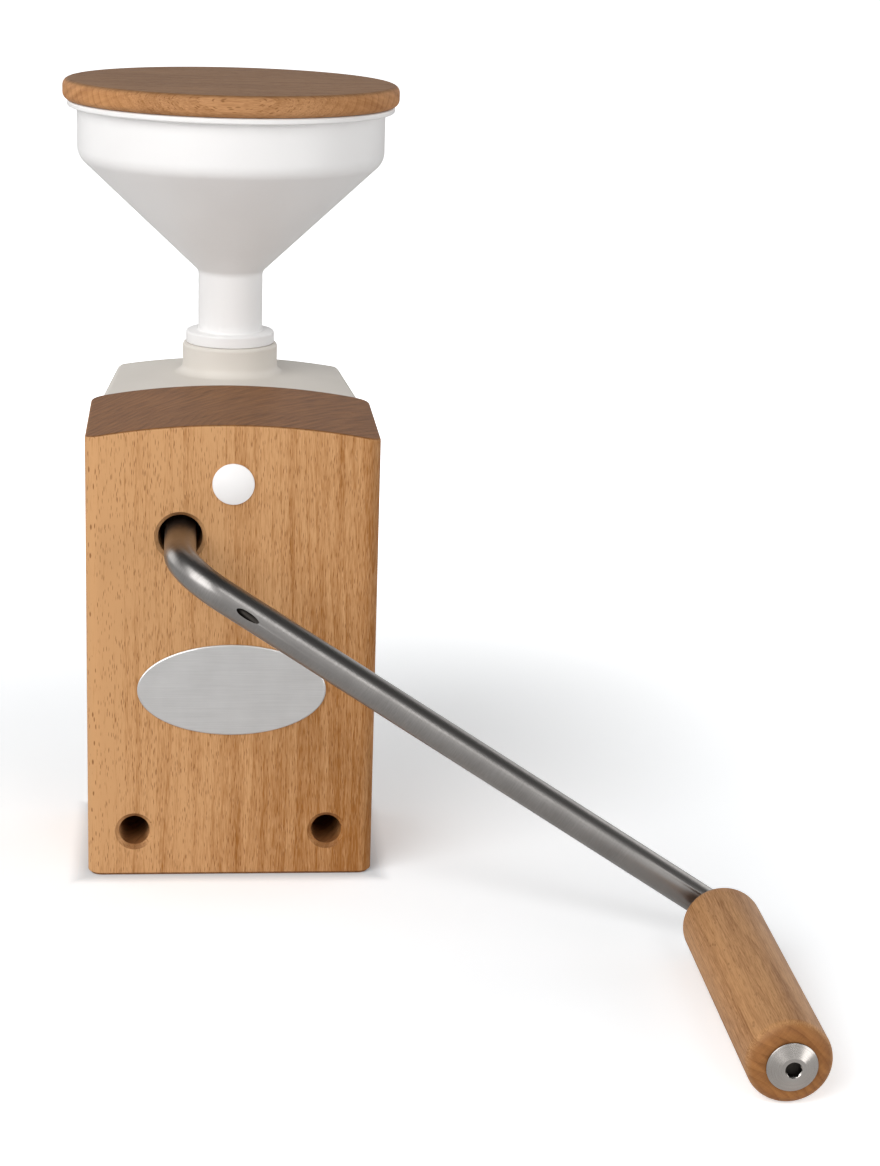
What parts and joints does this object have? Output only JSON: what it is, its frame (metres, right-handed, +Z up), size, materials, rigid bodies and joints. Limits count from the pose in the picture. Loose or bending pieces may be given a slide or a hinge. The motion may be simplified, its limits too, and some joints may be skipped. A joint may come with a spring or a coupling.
{
  "type": "hand crank grain flaker",
  "caption": "Beech block with a bent rod crank and turned grip, a fluted roller unit in a moulded housing behind it, and a funnel with a wooden lid on the collar.",
  "frame": {"origin": "centre of the wooden block's flat base", "axes": "+Z up, -Y out of the block's front face where the crank comes out, +X to the right seen from the front, on the side of the driven roller"},
  "size_m": [0.2623, 0.3766, 0.3009],
  "materials": {
    "beech": "oiled beech with fine flecks",
    "lid_beech": "oiled beech, slightly darker",
    "grip_beech": "turned and waxed beech",
    "white_plastic": "moulded white plastic, soft sheen",
    "grey_plastic": "moulded warm light grey plastic",
    "chute_plastic": "moulded natural white plastic",
    "satin_rod": "satin stainless rod",
    "badge_metal": "brushed, bare",
    "plate_metal": "milled plate",
    "roller_steel": "fluted hardened steel",
    "gear_steel": "cut steel",
    "bronze": "sintered bronze",
    "screw_steel": "zinc plated",
    "blade_steel": "cold rolled spring steel"
  },
  "bodies": {
    "frame": {"wooden_block": "beech", "cap_plug": "white_plastic", "roller_housing": "grey_plastic", "feed_chute": "chute_plastic", "badge_plate": "badge_metal", "front_plate": "plate_metal", "rear_plate": "plate_metal", "scraper_bar_left": "plate_metal", "scraper_bar_right": "plate_metal", "bush_drive_front": "bronze", "bush_drive_rear": "bronze", "bush_driven_front": "bronze", "bush_driven_rear": "bronze", "unit_screw": "screw_steel", "plate_wood_screws": "screw_steel", "front_tie_screws": "screw_steel", "rear_tie_screws": "screw_steel", "housing_screws": "screw_steel", "scraper_screws": "screw_steel", "spacer_rod_left": "screw_steel", "spacer_rod_right": "screw_steel", "scraper_blade_left": "blade_steel", "scraper_blade_right": "blade_steel"},
    "crank": {"crank_arm": "satin_rod", "shaft_coupling": "gear_steel", "coupling_pins": "gear_steel", "drive_roller": "roller_steel", "drive_gear": "gear_steel", "grip_spacer": "satin_rod", "handle_bolt": "satin_rod"},
    "driven": {"driven_roller": "roller_steel", "driven_gear": "gear_steel"},
    "grip": {"handle_grip": "grip_beech"},
    "funnel": {"funnel": "white_plastic"},
    "lid": {"lid": "lid_beech"}
  },
  "joints": [
    {"name": "crank_spin", "type": "hinge", "parent": "frame", "child": "crank", "pos_m": [-0.02, 0, 0.1388], "axis": [0, 1, 0], "continuous": true},
    {"name": "driven_spin", "type": "hinge", "parent": "frame", "child": "driven", "pos_m": [0.02, 0, 0.1388], "axis": [0, 1, 0], "continuous": true},
    {"name": "grip_spin", "type": "hinge", "parent": "crank", "child": "grip", "pos_m": [0.1796, -0.15, 0.01504], "axis": [0, 1, 0], "continuous": true},
    {"name": "funnel_lift", "type": "slide", "parent": "frame", "child": "funnel", "axis": [0, 0, 1], "range_m": [0, 0.04]},
    {"name": "lid_lift", "type": "slide", "parent": "funnel", "child": "lid", "axis": [0, 0, 1], "range_m": [0, 0.03]}
  ],
  "couplings": [
    {"joint": "driven_spin", "follows": "crank_spin", "ratio": -1}
  ]
}
